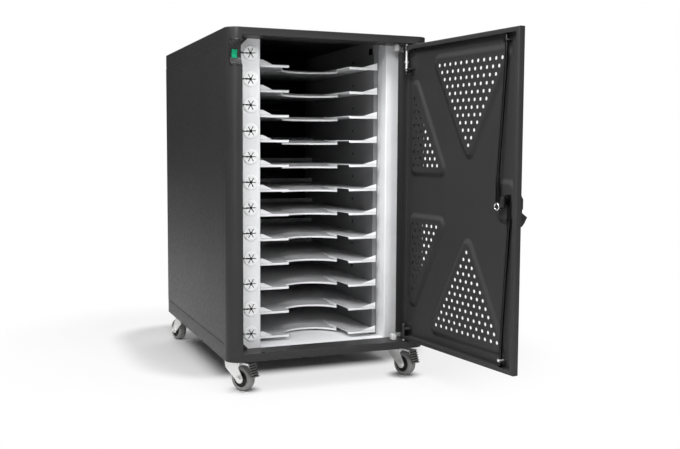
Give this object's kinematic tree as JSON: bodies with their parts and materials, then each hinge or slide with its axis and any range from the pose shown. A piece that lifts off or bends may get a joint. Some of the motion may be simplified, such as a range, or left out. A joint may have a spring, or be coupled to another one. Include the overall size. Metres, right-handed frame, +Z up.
{
  "type": "laptop charging cart",
  "caption": "Upright steel cabinet on swivel casters with shelved device bays, a slit-grommet cable strip, a lit power switch and an open perforated locking door.",
  "frame": {"origin": "centre of the bounding box in plan, at the floor, with the door open as pictured", "axes": "+Z up; the opening faces -Y; +X towards the hinge side"},
  "size_m": [0.4666, 0.9292, 0.709],
  "materials": {
    "coat": "charcoal powder coat",
    "white": "white powder coat",
    "grommet": "white soft rubber",
    "black": "black moulded",
    "zinc": "bright zinc plate",
    "chrome": "bright plate",
    "tyre": "grey rubber tread on a black hub",
    "grey": "light grey moulded",
    "lamp": "lit green rocker"
  },
  "bodies": {
    "cabinet": {"front_frame": "coat", "base_pan": "coat", "top_cover": "coat", "side_panel_left": "coat", "side_panel_right": "coat", "back_panel": "coat", "cable_wall": "coat", "shelf_wall": "coat", "bay_floor": "white", "cable_strip": "white", "bay_post": "white", "shelf_01": "white", "shelf_02": "white", "shelf_03": "white", "shelf_04": "white", "shelf_05": "white", "shelf_06": "white", "shelf_07": "white", "shelf_08": "white", "shelf_09": "white", "shelf_10": "white", "shelf_11": "white", "shelf_12": "white", "grommet_01": "grommet", "grommet_02": "grommet", "grommet_03": "grommet", "grommet_04": "grommet", "grommet_05": "grommet", "grommet_06": "grommet", "grommet_07": "grommet", "grommet_08": "grommet", "grommet_09": "grommet", "grommet_10": "grommet", "grommet_11": "grommet", "grommet_12": "grommet", "mains_inlet": "black", "power_strip": "black", "switch_pocket": "black", "stop_top": "grey", "stop_bottom": "grey"},
    "door": {"door_panel": "coat", "hinge_pin_bottom": "zinc", "lock_housing": "black"},
    "plunger": {"hinge_pin_top": "zinc"},
    "handle": {"lock_handle": "black", "lock_cam": "chrome"},
    "rod_up": {"lock_rod_upper": "black"},
    "rod_low": {"lock_rod_lower": "black"},
    "rocker": {"switch_rocker": "lamp"},
    "swivel_front_left": {"caster_fork_front_left": "zinc"},
    "wheel_front_left": {"caster_wheel_front_left": "tyre"},
    "swivel_front_right": {"caster_fork_front_right": "zinc"},
    "wheel_front_right": {"caster_wheel_front_right": "tyre"},
    "swivel_rear_left": {"caster_fork_rear_left": "zinc"},
    "wheel_rear_left": {"caster_wheel_rear_left": "tyre"},
    "swivel_rear_right": {"caster_fork_rear_right": "zinc"},
    "wheel_rear_right": {"caster_wheel_rear_right": "tyre"},
    "pedal_front_left": {"brake_pedal_front_left": "black"},
    "pedal_front_right": {"brake_pedal_front_right": "black"}
  },
  "joints": [
    {"name": "door_hinge", "type": "hinge", "parent": "cabinet", "child": "door", "pos_m": [0.14471, -0.12218, 0.389], "axis": [0, 0, 1], "range_deg": [-97.35, 10]},
    {"name": "handle_turn", "type": "hinge", "parent": "door", "child": "handle", "pos_m": [0.19506, -0.42422, 0.389], "axis": [0.9918, 0.1279, 0], "range_deg": [0, 90]},
    {"name": "rod_up_slide", "type": "slide", "parent": "door", "child": "rod_up", "axis": [0, 0, 1], "range_m": [0, 0.0157]},
    {"name": "rod_low_slide", "type": "slide", "parent": "door", "child": "rod_low", "axis": [0, 0, -1], "range_m": [0, 0.0157]},
    {"name": "plunger_slide", "type": "slide", "parent": "door", "child": "plunger", "axis": [0, 0, -1], "range_m": [0, 0.008], "stiffness_N_per_m": 400},
    {"name": "rocker_tilt", "type": "hinge", "parent": "cabinet", "child": "rocker", "pos_m": [-0.21629, -0.12098, 0.659], "axis": [1, 0, 0], "range_deg": [-14, 0]},
    {"name": "swivel_front_left", "type": "hinge", "parent": "cabinet", "child": "swivel_front_left", "pos_m": [-0.20279, -0.05748, 0.07], "axis": [0, 0, 1], "continuous": true},
    {"name": "roll_front_left", "type": "hinge", "parent": "swivel_front_left", "child": "wheel_front_left", "pos_m": [-0.18875, -0.07936, 0.025], "axis": [0.8415, 0.5402, 0], "continuous": true},
    {"name": "brake_front_left", "type": "hinge", "parent": "swivel_front_left", "child": "pedal_front_left", "pos_m": [-0.19091, -0.07599, 0.0555], "axis": [0.8415, 0.5402, 0], "range_deg": [-15, 0]},
    {"name": "swivel_front_right", "type": "hinge", "parent": "cabinet", "child": "swivel_front_right", "pos_m": [0.15921, -0.05748, 0.07], "axis": [0, 0, 1], "continuous": true},
    {"name": "roll_front_right", "type": "hinge", "parent": "swivel_front_right", "child": "wheel_front_right", "pos_m": [0.1681, -0.08191, 0.025], "axis": [0.9397, 0.342, 0], "continuous": true},
    {"name": "brake_front_right", "type": "hinge", "parent": "swivel_front_right", "child": "pedal_front_right", "pos_m": [0.16673, -0.07815, 0.0555], "axis": [0.9397, 0.342, 0], "range_deg": [-15, 0]},
    {"name": "swivel_rear_left", "type": "hinge", "parent": "cabinet", "child": "swivel_rear_left", "pos_m": [-0.20279, 0.41452, 0.07], "axis": [0, 0, 1], "continuous": true},
    {"name": "roll_rear_left", "type": "hinge", "parent": "swivel_rear_left", "child": "wheel_rear_left", "pos_m": [-0.20952, 0.43963, 0.025], "axis": [-0.9659, -0.2588, 0], "continuous": true},
    {"name": "swivel_rear_right", "type": "hinge", "parent": "cabinet", "child": "swivel_rear_right", "pos_m": [0.15921, 0.41452, 0.07], "axis": [0, 0, 1], "continuous": true},
    {"name": "roll_rear_right", "type": "hinge", "parent": "swivel_rear_right", "child": "wheel_rear_right", "pos_m": [0.15248, 0.43963, 0.025], "axis": [-0.9659, -0.2588, 0], "continuous": true}
  ],
  "couplings": [
    {"joint": "rod_up_slide", "follows": "handle_turn", "m_per_rad": 0.0099035},
    {"joint": "rod_low_slide", "follows": "handle_turn", "m_per_rad": 0.0099035}
  ]
}
